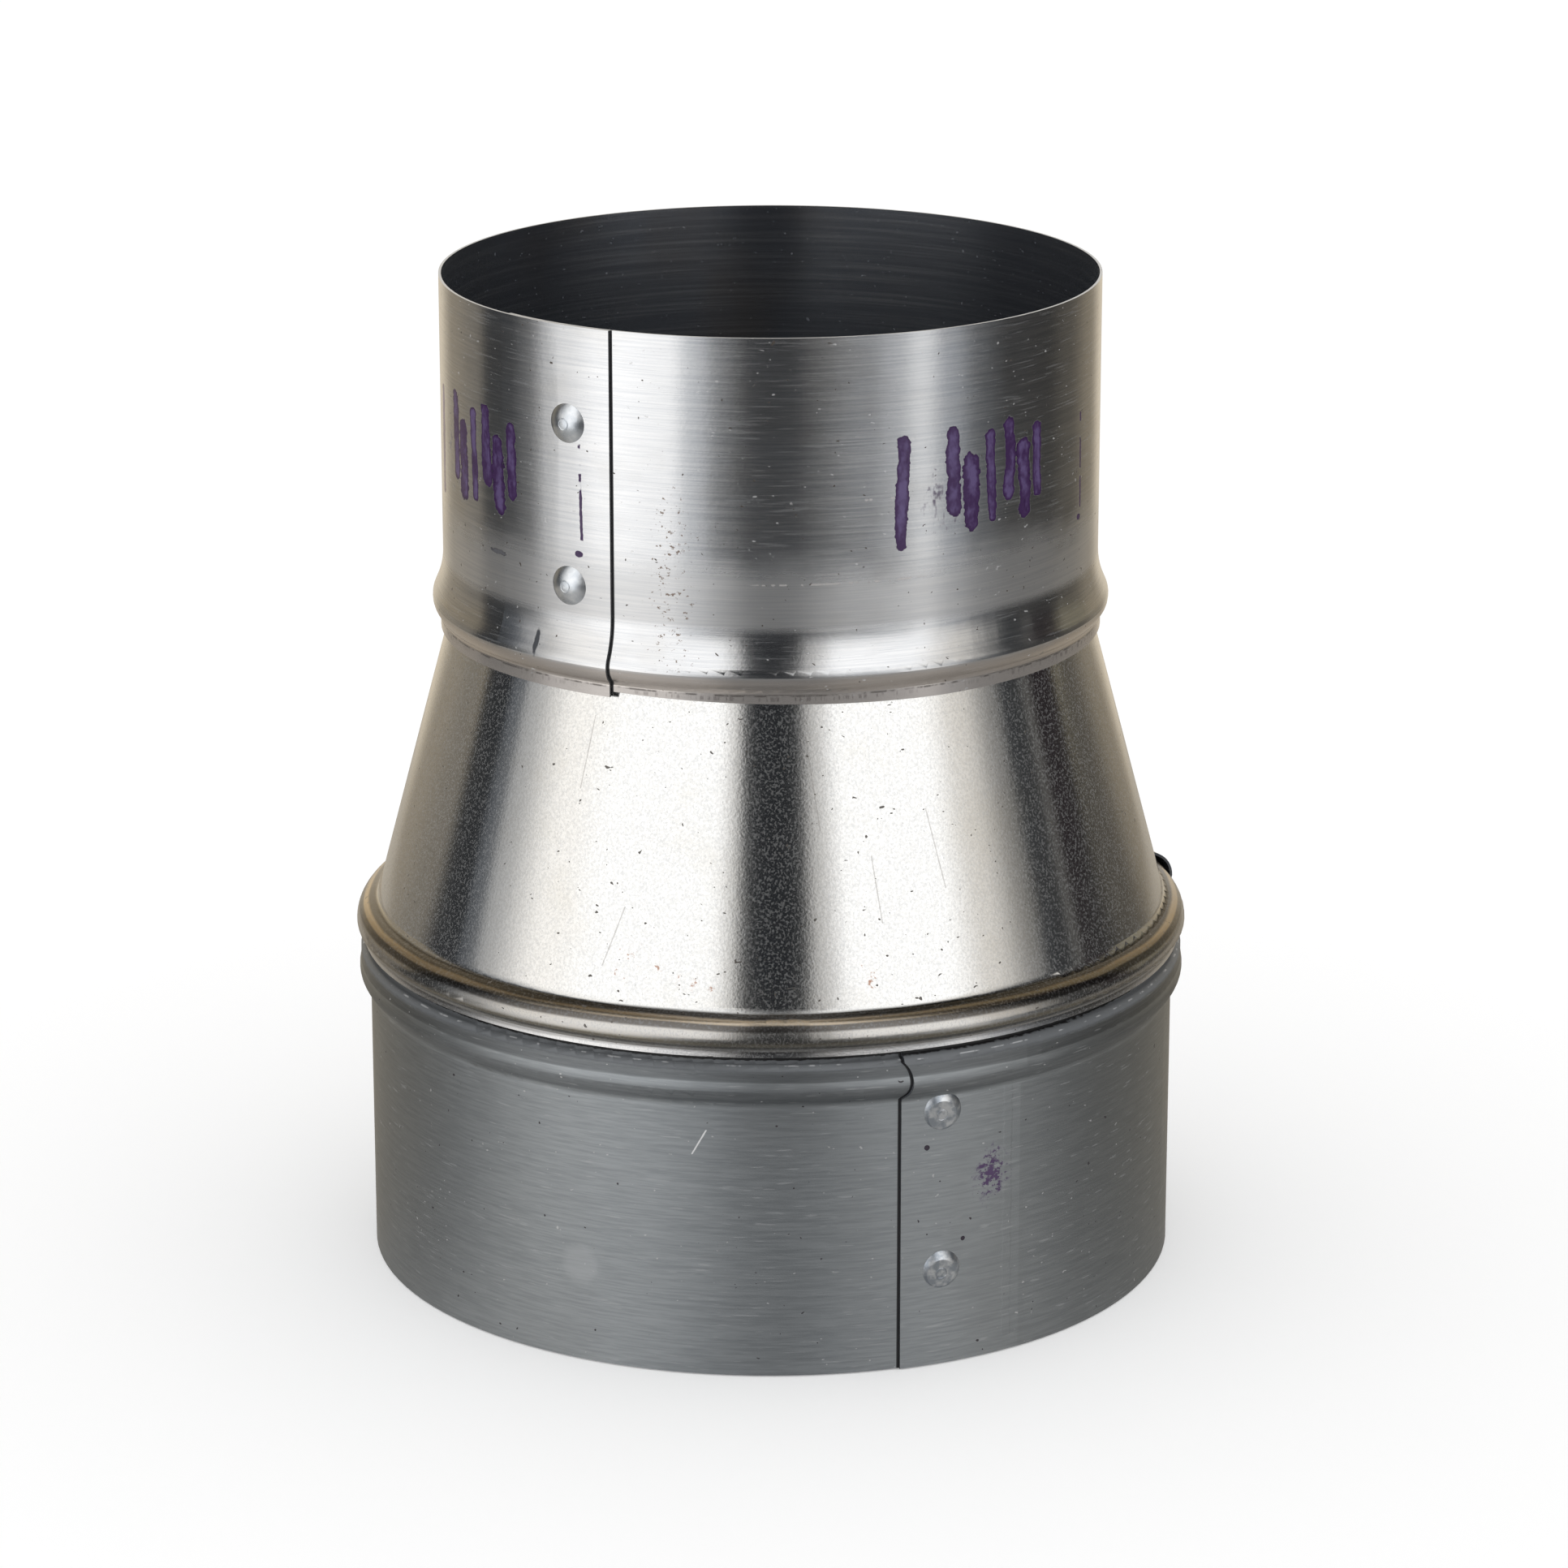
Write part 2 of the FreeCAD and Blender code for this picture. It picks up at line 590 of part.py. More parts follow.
nodes = sheet_and_rivets("small_collar", small_line, 1, "small_lap_angle", "small_edge_angle",
                         "small_rivet_from_edge", ("small_rivet_top", "small_rivet_bottom"), 0.0,
                         lambda height: size("small_bore_radius"), trims=[foot_trim()])
nodes += sheet_and_rivets("taper", taper_line, -1, "taper_lap_angle", "taper_edge_angle",
                          "taper_rivet_from_edge", ("taper_rivet_top", "taper_rivet_bottom"),
                          math.degrees(slope), taper_radius, open_line=sprung_line,
                          open_angle="dims.taper_spring_angle")
nodes += sheet_and_rivets("large_collar", large_line, -1, "large_lap_angle", "large_edge_angle",
                          "large_rivet_from_edge", ("large_rivet_top", "large_rivet_bottom"), 0.0,
                          lambda height: size("large_bore_radius"), struck=True, trims=[edge_notch()])
document.recompute()

# Every object has to be sound before the pieces are written.

for thing in document.Objects:
    if "Invalid" in thing.State or "Error" in thing.State:
        raise RuntimeError("%s is not sound" % thing.Name)

os.makedirs("parts", exist_ok=True)
for node in nodes:
    if node.Shape.isNull() or not node.Shape.isValid():
        raise RuntimeError("%s has no valid shape" % node.Label)
    node.Shape.exportStep("parts/%s.step" % node.Label)
    print(node.Label, "solids", len(node.Shape.Solids), "volume", round(node.Shape.Volume, 1))
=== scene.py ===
# %% [markdown]
# # A riveted duct reducer
# The real thing is three rolled sheets of zinc-coated steel: a small collar, a taper and
# a large collar, each closed by a lap seam with two rivets. The solids come ready made
# from the frame, so this lesson is about light and finish: how one shape of sheet gets
# three different coats, with brush lines, grain, ink and handling marks.

import math

import bmesh
import bpy
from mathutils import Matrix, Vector


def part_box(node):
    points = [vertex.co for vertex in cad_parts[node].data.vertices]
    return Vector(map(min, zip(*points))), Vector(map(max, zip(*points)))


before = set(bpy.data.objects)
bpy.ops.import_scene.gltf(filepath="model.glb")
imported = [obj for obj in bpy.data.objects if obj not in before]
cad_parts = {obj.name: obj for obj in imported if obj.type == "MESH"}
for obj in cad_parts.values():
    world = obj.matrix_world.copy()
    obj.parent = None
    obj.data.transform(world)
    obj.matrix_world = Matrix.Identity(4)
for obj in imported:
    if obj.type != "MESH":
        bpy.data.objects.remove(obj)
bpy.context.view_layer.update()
MM = 0.001
print("nodes", sorted(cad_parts))

# %% [markdown]
# ## Heights that the finishes need
# A finish often follows the form: the bead is burnished, the flange has tool marks. The
# heights come from the boxes of the solids, so that they move when the part changes.
# From here on lengths are in millimetres, and angles are in degrees round the axis, 0 at
# the camera and growing to the right, unless a line says otherwise.

# %% Heights and radii of the sheets
small_low, small_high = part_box("small_collar")
taper_low, taper_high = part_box("taper")
large_low, large_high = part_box("large_collar")
SMALL_FOOT = small_low.z / MM
TAPER_FOOT = taper_low.z / MM
SMALL_BEAD_CREST = SMALL_FOOT + 4.7
SMALL_BEAD_TOP = SMALL_BEAD_CREST + 7.4
TAPER_BEAD_CREST = TAPER_FOOT + 2.5
TAPER_CREASE = TAPER_BEAD_CREST + 4.4
SMALL_RADIUS = 51.4
LARGE_RADIUS = 64.15
for title, low, high in (("small collar", small_low, small_high),
                         ("taper", taper_low, taper_high),
                         ("large collar", large_low, large_high)):
    print(title, "from", round(low.z / MM, 1), "to", round(high.z / MM, 1), "mm")

# %% [markdown]
# ## The camera
# A long lens from a little above, level from side to side. Its distance, height and
# tilt were found by matching the outline of the part, so the ellipses of both rims open
# by the right amount. The camera stands a little to the right of the axis.

# %% Camera
IMAGE_SIZE = 1932
FOCAL_PIXELS = 6923.6
SENSOR_MM = 36.0
CAMERA_RIGHT = 2.1
CAMERA_DISTANCE = 856.8
CAMERA_HEIGHT = 333.0
CAMERA_TILT = 16.777

camera_data = bpy.data.cameras.new("camera")
camera_data.sensor_width = SENSOR_MM
camera_data.lens = FOCAL_PIXELS * SENSOR_MM / IMAGE_SIZE
camera_data.clip_start = 0.01
camera_data.clip_end = 50.0
camera = bpy.data.objects.new("camera", camera_data)
bpy.context.scene.collection.objects.link(camera)
camera.location = Vector((CAMERA_RIGHT, -CAMERA_DISTANCE, CAMERA_HEIGHT)) * MM
camera.rotation_euler = (math.radians(90 - CAMERA_TILT), 0, 0)
bpy.context.scene.camera = camera
bpy.context.scene.view_settings.view_transform = "Standard"
print("lens", round(camera_data.lens, 1), "mm")

# %% [markdown] ## A small kit for node materials Every finish below is written as a
# short sum of patterns. Each value that goes in is a plain number or the output of
# another node.

# %% Node kit
class Kit:
    """Adds nodes to one tree."""

    def __init__(self, tree):
        self.tree = tree

    def node(self, kind):
        return self.tree.nodes.new("ShaderNode" + kind)

    def put(self, socket, value):
        if isinstance(value, bpy.types.NodeSocket):
            self.tree.links.new(value, socket)
        else:
            socket.default_value = value

    def math(self, operation, *values, clamp=False):
        node = self.node("Math")
        node.operation = operation
        node.use_clamp = clamp
        for socket, value in zip(node.inputs, values):
            self.put(socket, value)
        return node.outputs[0]

    def add(self, a, b):
        return self.math("ADD", a, b)

    def minus(self, a, b):
        return self.math("SUBTRACT", a, b)

    def times(self, a, b):
        return self.math("MULTIPLY", a, b)

    def most(self, a, b):
        return self.math("MAXIMUM", a, b)

    def distance(self, a, b):
        """How long the diagonal is of a step a across and a step b up."""
        return self.math("SQRT", self.add(self.times(a, a), self.times(b, b)))

    def turn(self, x, y):
        """The way round the axis from the camera side, in radians."""
        return self.math("ARCTAN2", x, self.times(y, -1.0))

    def uneven(self, pattern, middle, spread):
        """A value that a pattern from 0 to 1 moves by a spread round its middle."""
        return self.math("MULTIPLY_ADD", pattern, spread, middle - spread / 2)

    def between(self, value, low, high):
        """0 at low, 1 at high and a soft step from one to the other."""
        node = self.node("MapRange")
        node.interpolation_type = "SMOOTHSTEP"
        self.put(node.inputs["Value"], value)
        node.inputs["From Min"].default_value = low
        node.inputs["From Max"].default_value = high
        return node.outputs["Result"]

    def band(self, value, low, high, soft):
        """1 from low to high and 0 outside, with both edges softened."""
        rise = self.between(value, low - soft, low + soft)
        fall = self.between(value, high + soft, high - soft)
        return self.times(rise, fall)

    def ramp(self, value, stops, kind="LINEAR"):
        """Colours along a value from 0 to 1, each stop a place and a colour."""
        node = self.node("ValToRGB")
        node.color_ramp.interpolation = kind
        points = node.color_ramp.elements
        while len(points) > 1:
            points.remove(points[0])
        for index, (place, shade) in enumerate(stops):
            point = points[0] if index == 0 else points.new(place)
            point.position = place
            point.color = shade
        self.put(node.inputs[0], value)
        return node.outputs[0]

    def mix(self, share, first, second, kind="MIX"):
        node = self.node("Mix")
        node.data_type = "RGBA"
        node.blend_type = kind
        self.put(node.inputs["Factor"], share)
        self.put(node.inputs["A"], first)
        self.put(node.inputs["B"], second)
        return node.outputs["Result"]


def colour(red, green, blue):
    return (red, green, blue, 1.0)


def grey(light):
    return colour(light, light, light)


print("the kit has", [name for name in vars(Kit) if not name.startswith("_")])

# %% [markdown]
# Every material starts with the same few nodes: a shader, its output and the place that
# is being shaded. Patterns read Object coordinates, which are metres from the frame's
# origin. The angle round the axis and the height are worked out from them once, because
# almost every mark on a round sheet is placed by these two.

# %% Start of a material
class Recipe(Kit):
    """One material, with the places that its patterns read."""

    def __init__(self, name):
        self.material = bpy.data.materials.new(name)
        self.material.use_nodes = True
        super().__init__(self.material.node_tree)
        self.tree.nodes.clear()
        self.output = self.node("OutputMaterial")
        self.shader = self.node("BsdfPrincipled")
        self.put(self.output.inputs["Surface"], self.shader.outputs[0])
        self.place = self.node("TexCoord").outputs["Object"]
        axes = self.node("SeparateXYZ")
        self.put(axes.inputs[0], self.place)
        self.x, self.y, self.z = axes.outputs
        self.height = self.times(self.z, 1 / MM)
        self.angle = self.times(self.turn(self.x, self.y), 180.0 / math.pi)

    def noise(self, across, along=None, detail=3.0, rough=0.55, lean=0.0, warp=0.0):
        """Noise with so many lumps per metre across and along the axis."""
        stretched = self.node("Mapping")
        self.put(stretched.inputs["Vector"], self.place)
        stretched.inputs["Rotation"].default_value = (0.0, lean, 0.0)
        along = across if along is None else along
        stretched.inputs["Scale"].default_value = (across, across, along)
        node = self.node("TexNoise")
        self.put(node.inputs["Vector"], stretched.outputs[0])
        node.inputs["Scale"].default_value = 1.0
        node.inputs["Detail"].default_value = detail
        node.inputs["Roughness"].default_value = rough
        node.inputs["Distortion"].default_value = warp
        return node.outputs["Fac"]

    def patches(self, low, high, *lumps, **more):
        """Where a noise passes from low to high: the lumps that stand out of it."""
        return self.between(self.noise(*lumps, **more), low, high)

    def bump(self, value, depth, below=None):
        """A relief of so many millimetres, on top of the relief below it."""
        node = self.node("Bump")
        node.inputs["Strength"].default_value = 1.0
        node.inputs["Distance"].default_value = depth * MM
        self.put(node.inputs["Height"], value)
        if below is not None:
            self.put(node.inputs["Normal"], below)
        return node.outputs[0]


print("a recipe has", [name for name in vars(Recipe) if not name.startswith("_")])

# %% [markdown]
# ## The studio
# Bare metal shows the room more than itself. This room is a white tent with two tall
# bright windows, one to the left and one to the right of the camera. A black flag hangs
# behind the camera, another hangs at each side, and warm grey walls close the back. On a
# round sheet each of these becomes one upright band. The same bands run over the floor,
# because an upright wall, seen from above, mirrors the floor: the foot of a wall mirrors
# the floor close by, and the upper parts mirror the floor further out. Only the metal
# sees the bands. The camera sees plain white, and the soft light on the floor is even.

# %% Brightness round the room
# Each stop is an angle, a brightness, a warmth and, for some, an extra share of green.
WINDOW = 1.34
WALLS = [
    (-180, 0.90, 0.05), (-160, 0.75, 0.24), (-148, 0.42, 0.28), (-138, 0.25, 0.22),
    (-117, 0.21, 0.20), (-112, 0.035, -0.06), (-101, 0.025, -0.10), (-99, 0.12, -0.10),
    (-95, 0.14, -0.08), (-90, 0.45, 0.00), (-68, 1.18, 0.03), (-50, WINDOW, 0.00),
    (-17, WINDOW, 0.00), (-12, 0.80, 0.02), (-8, 0.02, -0.14), (9, 0.018, -0.14),
    (14, 0.60, 0.02), (24, WINDOW, 0.00), (52, WINDOW, 0.00), (66, 0.80, 0.05),
    (82, 0.24, 0.03), (87, 0.04, -0.08), (94, 0.04, -0.04), (98, 0.11, 0.04),
    (102, 0.02, 0.05, -0.16), (112, 0.025, 0.05, -0.14), (117, 0.18, 0.20, 0.04),
    (130, 0.20, 0.20, 0.04), (140, 0.27, 0.24), (150, 0.50, 0.24), (180, 0.90, 0.05),
]
FAR_FLOOR = [
    (-180, 0.80, 0.10), (-160, 0.60, 0.18), (-140, 0.26, 0.18), (-118, 0.19, 0.12),
    (-110, 0.04, -0.06), (-97, 0.04, -0.08), (-88, 0.12, -0.02), (-72, 1.00, 0.00),
    (-54, 1.52, 0.00), (-34, 1.32, 0.00), (-26, 0.60, -0.04), (-16, 0.06, -0.10),
    (-10, 0.03, -0.10), (18, 0.03, -0.10), (32, 0.14, -0.08), (42, 0.40, -0.04),
    (52, 0.88, -0.01), (62, 0.36, -0.08), (74, 0.09, -0.10), (88, 0.035, -0.02),
    (108, 0.035, 0.02), (122, 0.08, 0.12), (142, 0.22, 0.20), (160, 0.60, 0.18),
    (180, 0.80, 0.10),
]
NEAR_FLOOR = [
    (-180, 0.46, 0.14), (-130, 0.37, 0.14), (-100, 0.31, 0.08), (-74, 0.36, 0.03),
    (-48, 0.50, 0.03), (-26, 0.44, 0.02), (-8, 0.25, 0.00), (10, 0.24, 0.00),
    (32, 0.34, 0.03), (50, 0.36, 0.03), (74, 0.29, 0.04), (100, 0.27, 0.08),
    (130, 0.34, 0.15), (180, 0.46, 0.14),
]
# A warmth of one would add these shares of red and blue.
WARM_RED = 0.8
WARM_BLUE = -1.2


def room_bands(kit, x, y, stops):
    """The colour of the room in the direction x, y."""
    around = kit.math("MULTIPLY_ADD", kit.turn(x, y), 0.5 / math.pi, 0.5)
    shades = []
    for angle, light, warmth, *green in stops:
        shade = colour(light * (1 + WARM_RED * warmth), light * (1 + sum(green)),
                       light * (1 + WARM_BLUE * warmth))
        shades.append(((angle + 180) / 360, shade))
    return kit.ramp(around, shades, "EASE")


print("walls", len(WALLS), "stops, far floor", len(FAR_FLOOR), "and near floor", len(NEAR_FLOOR))

# %% [markdown]
# ## The floor
# The floor is a pale sheet that keeps the shadow of the part. A little light of its own
# lifts it to the white of the background. Only camera, mirror and clear rays see that
# light, so it lights nothing else.

# %% Floor
FLOOR_SIZE = 16.0  # metres
FLOOR_HEIGHT = -0.2
FLOOR_GLOW = 0.24


def flat_sheet(name, material, height):
    mesh = bpy.data.meshes.new(name)
    shape = bmesh.new()
    bmesh.ops.create_grid(shape, x_segments=1, y_segments=1, size=FLOOR_SIZE / 2)
    bmesh.ops.translate(shape, vec=(0, 0, height * MM), verts=shape.verts[:])
    shape.to_mesh(mesh)
    shape.free()
    mesh.materials.append(material)
    sheet = bpy.data.objects.new(name, mesh)
    bpy.context.scene.collection.objects.link(sheet)
    return sheet


floor_recipe = Recipe("pale_floor")
floor_recipe.shader.inputs["Base Color"].default_value = grey(0.80)
floor_recipe.shader.inputs["Roughness"].default_value = 1.0
floor_recipe.shader.inputs["Specular IOR Level"].default_value = 0.0
rays = floor_recipe.node("LightPath").outputs
seen = floor_recipe.most(rays["Is Camera Ray"], rays["Is Glossy Ray"])
seen = floor_recipe.most(seen, rays["Is Transmission Ray"])
lift = floor_recipe.node("Emission")
floor_recipe.put(lift.inputs["Strength"], floor_recipe.times(seen, FLOOR_GLOW))
both = floor_recipe.node("AddShader")
floor_recipe.put(both.inputs[0], floor_recipe.shader.outputs[0])
floor_recipe.put(both.inputs[1], lift.outputs[0])
floor_recipe.put(floor_recipe.output.inputs["Surface"], both.outputs[0])
floor = flat_sheet("floor", floor_recipe.material, FLOOR_HEIGHT)
print(floor.name, FLOOR_SIZE, "m wide")

# %% [markdown]
# ## The striped mat
# The bands of the floor are on a mat that lies just over it. It only exists for mirror rays: the
# camera, the soft light and the shadows all pass through it. Right at the foot of the part, and
# inside it, the mat is painted dark as a shadow.

# %% Striped mat
MAT_HEIGHT = -0.1
FOOT_PAINTED_SHADOW_EDGE = (0.058, 0.066)  # metres from the axis
NEAR_FLOOR_EDGE = (0.30, 0.42)  # metres from the axis

mat_recipe = Recipe("striped_mat")
away = mat_recipe.distance(mat_recipe.x, mat_recipe.y)
bands = mat_recipe.mix(mat_recipe.between(away, *NEAR_FLOOR_EDGE),
                       room_bands(mat_recipe, mat_recipe.x, mat_recipe.y, NEAR_FLOOR),
                       room_bands(mat_recipe, mat_recipe.x, mat_recipe.y, FAR_FLOOR))
# A painted shadow on the mat at the foot of the part and inside it.
bands = mat_recipe.mix(mat_recipe.between(away, *FOOT_PAINTED_SHADOW_EDGE),
                       colour(0.03, 0.032, 0.038), bands)
glow = mat_recipe.node("Emission")
mat_recipe.put(glow.inputs["Color"], bands)
mat_recipe.put(mat_recipe.output.inputs["Surface"], glow.outputs[0])
mat = flat_sheet("striped_mat", mat_recipe.material, MAT_HEIGHT)
mat.visible_camera = False
mat.visible_diffuse = False
mat.visible_shadow = False
mat.visible_transmission = False
print(mat.name, "dark inside", FOOT_PAINTED_SHADOW_EDGE[0], "m, far bands from", NEAR_FLOOR_EDGE[1], "m")

# %% [markdown]
# ## The tent
# The world does the same for the walls: mirror rays find the bands, all other rays find
# plain white, which lights the part softly from every side. There is no lamp.

# %% World
world = bpy.data.worlds.new("white_tent")
world.use_nodes = True
bpy.context.scene.world = world
room = Kit(world.node_tree)
axes = room.node("SeparateXYZ")
room.put(axes.inputs[0], room.node("TexCoord").outputs["Generated"])
walls = room_bands(room, axes.outputs[0], axes.outputs[1], WALLS)
mirrored = room.node("LightPath").outputs["Is Glossy Ray"]
background = room.tree.nodes["Background"]
room.put(background.inputs["Color"], room.mix(mirrored, grey(1), walls))
print(world.name, "with", len(room.tree.nodes), "nodes")

# %% [markdown]
# ## Zinc-coated sheet
# All three sheets share one recipe. First come the shapes of marks: a spot and a stroke
# are placed on the round wall by angle and height and measured in millimetres, and a
# fine noise makes their edges ragged, as they are on a worn surface.

# %% Marks on a round wall
class RoundWall(Recipe):
    """A recipe that can place spots and strokes."""

    def __init__(self, name):
        super().__init__(name)
        self.rag = self.uneven(self.noise(1100.0, 1100.0, 2.0), 0.0, 1.0)

    def spot(self, place, radius, ragged=0.35, soft=0.25, turn=None):
        """A ragged spot, its place being an angle, a height, a width and how tall it is."""
        angle, height, wide, tall = place
        turn = self.angle if turn is None else turn
        per_degree = math.radians(radius) / wide * 2
        across = self.math("MULTIPLY_ADD", turn, per_degree, -per_degree * angle)
        up = self.math("MULTIPLY_ADD", self.height, 2 / tall, -2 * height / tall)
        reach = self.add(self.distance(across, up), self.times(self.rag, ragged * 4))
        return self.between(reach, 1 + soft, 1 - soft)

    def reach(self, stroke, radius, turn, ragged=1.4):
        """Distance from an upright stroke with round ends, 0 on its line and 1 at its edge.

        A stroke is an angle, a low and a high end, a width and a lean in degrees per mm."""
        angle, low, high, width, lean = stroke
        middle = (low + high) / 2
        line = self.math("MULTIPLY_ADD", self.height, lean, angle - lean * middle)
        across = self.times(self.minus(turn, line), math.radians(radius) / width * 2)
        up = self.math("ABSOLUTE", self.minus(self.height, middle))
        past_end = self.times(self.minus(up, (high - low - width) / 2), 2 / width)
        past_end = self.most(past_end, 0.0)
        return self.add(self.distance(across, past_end), self.times(self.rag, ragged))

    def bar(self, stroke, radius, turn):
        """A ragged upright stroke, 1 on its line and 0 outside."""
        return self.between(self.reach(stroke, radius, turn), 1.15, 0.75)


print("a round wall adds", [name for name in vars(RoundWall) if not name.startswith("_")])

# %% [markdown]
# The sheet itself is a metal whose roughness is stretched round the axis, because it was brushed
# and rolled that way. On the colour of its coat lie films, which aren't metal and hide it,
# wholly or in part: ink, dust and stains, and also painted shadows and painted shade. Some tints
# of the coat are painted light and shade as well. The inner side is told from the outer one by
# its normal, which points to the axis.

# %% Shared sheet recipe
BRUSH_ROUND_AXIS = 0.25  # share of a full turn
FACING_EDGE = 0.004  # metres from the axis, times the share of the normal that points out
RAMP_SPAN = 10.0
# The painted shadow beside a lap's cut edge lies in this strip.
SEAM_SHADOW_STRIP = (-0.02, 0.38)  # from the cut edge to one sheet's thickness beside it
INNER_SHADE_FILM = 0.13


class Sheet(RoundWall):
    """A finish for one sheet: the colour of its coat, and the films that lie on it."""

    def __init__(self, name, stretch):
        super().__init__(name)
        self.shader.inputs["Anisotropic"].default_value = stretch
        self.shader.inputs["Anisotropic Rotation"].default_value = BRUSH_ROUND_AXIS
        tangent = self.node("Tangent")
        tangent.direction_type = "RADIAL"
        tangent.axis = "Z"
        self.put(self.shader.inputs["Tangent"], tangent.outputs[0])
        self.tone = None
        self.hidden = 0.0
        outward = self.node("CombineXYZ")
        self.put(outward.inputs[0], self.x)
        self.put(outward.inputs[1], self.y)
        facing = self.node("VectorMath")
        facing.operation = "DOT_PRODUCT"
        self.put(facing.inputs[0], self.node("NewGeometry").outputs["Normal"])
        self.put(facing.inputs[1], outward.outputs[0])
        self.inside = self.between(facing.outputs["Value"], FACING_EDGE, -FACING_EDGE)
        self.outside = self.minus(1.0, self.inside)

    def tint(self, share, shade):
        """Another colour of the metal: its own, or painted light and shade."""
        self.tone = self.mix(share, self.tone, shade)

    def film(self, mask, shade, share=1.0):
        """Ink, dust, a stain or painted shade: it hides the metal where the mask times the share
        is one.
        """
        mask = self.times(mask, share)
        self.hidden = self.most(self.hidden, mask)
        self.tint(self.between(mask, 0.0, 0.5), shade)

    def seam(self, edge, radius, side=1.0):
        """Painted shadow in the step beside the cut edge of a lap, to the right or, with -1,
        left.
        """
        away = self.times(self.minus(self.angle, edge), side * math.radians(radius))
        shadow_strip = self.times(self.band(away, *SEAM_SHADOW_STRIP, 0.03), self.outside)
        self.film(shadow_strip, colour(0.02, 0.02, 0.022), 0.92)

    def shades_along(self, distance, table):
        """Colours at distances from 0 to the ramp's span."""
        stops = [(place / RAMP_SPAN, colour(*shade)) for place, *shade in table]
        return self.ramp(self.times(distance, 1 / RAMP_SPAN), stops)

    def paint_inner_shade(self):
        """The inner side is painted dark as shade inside the sheets, with a few drawn lines and
        brown patches.
        """
        lines = self.patches(0.40, 0.80, 28.0, 1900.0, 4.0, 0.65)
        dark = self.mix(lines, colour(0.17, 0.185, 0.21), colour(0.30, 0.31, 0.33))
        brown = self.times(self.patches(0.52, 0.72, 30.0, 22.0), 0.35)
        dark = self.mix(brown, dark, colour(0.22, 0.17, 0.12))
        self.hidden = self.most(self.hidden, self.times(self.inside, INNER_SHADE_FILM))
        # The inner side is tinted with painted shade.
        self.tint(self.inside, dark)

    def finish(self, rough, relief):
        self.paint_inner_shade()
        metal = self.math("SUBTRACT", 1.0, self.hidden, clamp=True)
        for socket, value in (("Base Color", self.tone), ("Metallic", metal),
                              ("Roughness", rough), ("Normal", relief)):
            self.put(self.shader.inputs[socket], value)
        return self.material


def cover(node_name, material):
    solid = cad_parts[node_name]
    for slot in solid.material_slots:
        slot.material = material
    print(node_name, "covered with", material.name, "of", len(material.node_tree.nodes), "nodes")


print("a sheet adds", [name for name in vars(Sheet) if not name.startswith("_")])

# %% [markdown]
# ## The small collar
# This sheet is the brightest. Brushing left fine level lines, and the coat is a little brown in
# broad clouds. The steep flank under the bead, where the roller pressed, is warmer in tone. Over
# the wall just above the bead lies a pale milky band with a cloudy upper edge, a painted
# reflection, where the sheet is also a little rougher. The brush lines are patterns, because
# they are thinner than any modelled form.

# %% Coat of the small collar
small = Sheet("bright_brushed_zinc", 0.86)
fine = small.noise(60.0, 3200.0, 4.0, 0.62)
cloud = small.noise(70.0, 90.0, 3.0, 0.6)
small.tone = small.mix(small.between(fine, 0.28, 0.72), colour(0.64, 0.65, 0.665), grey(0.78))
small.tint(small.times(small.between(cloud, 0.48, 0.72), 0.4), colour(0.60, 0.585, 0.565))

# A painted reflection: a pale milky band with a cloudy upper edge above the bead.
cloudy_height = small.add(small.height, small.times(cloud, 9.0))
painted_milky_reflection = small.times(small.between(cloudy_height, SMALL_BEAD_TOP + 17, SMALL_BEAD_TOP + 9),
                    small.between(small.height, SMALL_BEAD_TOP - 1.5, SMALL_BEAD_TOP + 0.5))
small.film(painted_milky_reflection, colour(0.50, 0.48, 0.46), 0.14)
flank = small.band(small.height, SMALL_FOOT - 0.5, SMALL_BEAD_CREST - 0.2, 0.5)
small.tint(small.times(flank, 0.8), colour(0.66, 0.60, 0.55))
small.film(small.patches(0.60, 0.70, 150.0, 3400.0, 1.0), colour(0.36, 0.39, 0.42), 0.08)
print(small.material.name, "has", len(small.tree.nodes), "nodes so far")

# %% [markdown]
# ## Wear of the small collar
# Handling left pale specks and dark pits all over, two broken level lines where a tool
# ran, a brown scuff between the inked groups and a short dark scrape at the left.

# %% Wear of the small collar
# Each line is a height, and how sparse its dashes are, from 0 to 1.
TOOL_LINES = [(SMALL_BEAD_TOP + 6.5, 0.50), (SMALL_BEAD_TOP + 19.0, 0.60)]
TOOL_LINE_ENDS = (-3.0, 26.0)
# Each spot is an angle, a height, a width and how tall it is.
SCUFF = (-16.5, 121.0, 5.5, 21.0)
SCRAPE = (-52.5, SMALL_BEAD_TOP + 6.6, 4.6, 0.7)

small.film(small.patches(0.735, 0.775, 900.0, 1500.0, 1.0), grey(0.66), 0.4)
pits = small.patches(0.255, 0.215, 1100.0, 1300.0, 1.0, warp=0.4)
small.film(pits, colour(0.10, 0.085, 0.075), 0.7)
for height, sparse in TOOL_LINES:
    dashes = small.times(small.patches(sparse, sparse + 0.06, 800.0, 300.0, 1.0),
                         small.band(small.height, height - 0.15, height + 0.15, 0.2))
    dashes = small.times(dashes, small.band(small.angle, *TOOL_LINE_ENDS, 3.0))
    small.film(dashes, colour(0.58, 0.56, 0.55), 0.6)
scuff = small.times(small.spot(SCUFF, SMALL_RADIUS, 0.9, 0.4),
                    small.patches(0.58, 0.64, 1100.0, 1500.0, 3.0, 0.7))
small.film(scuff, colour(0.24, 0.19, 0.16), 0.6)
small.film(small.spot(SCRAPE, SMALL_RADIUS, 0.5), colour(0.10, 0.10, 0.11))
print("wear makes", len(small.tree.nodes), "nodes")

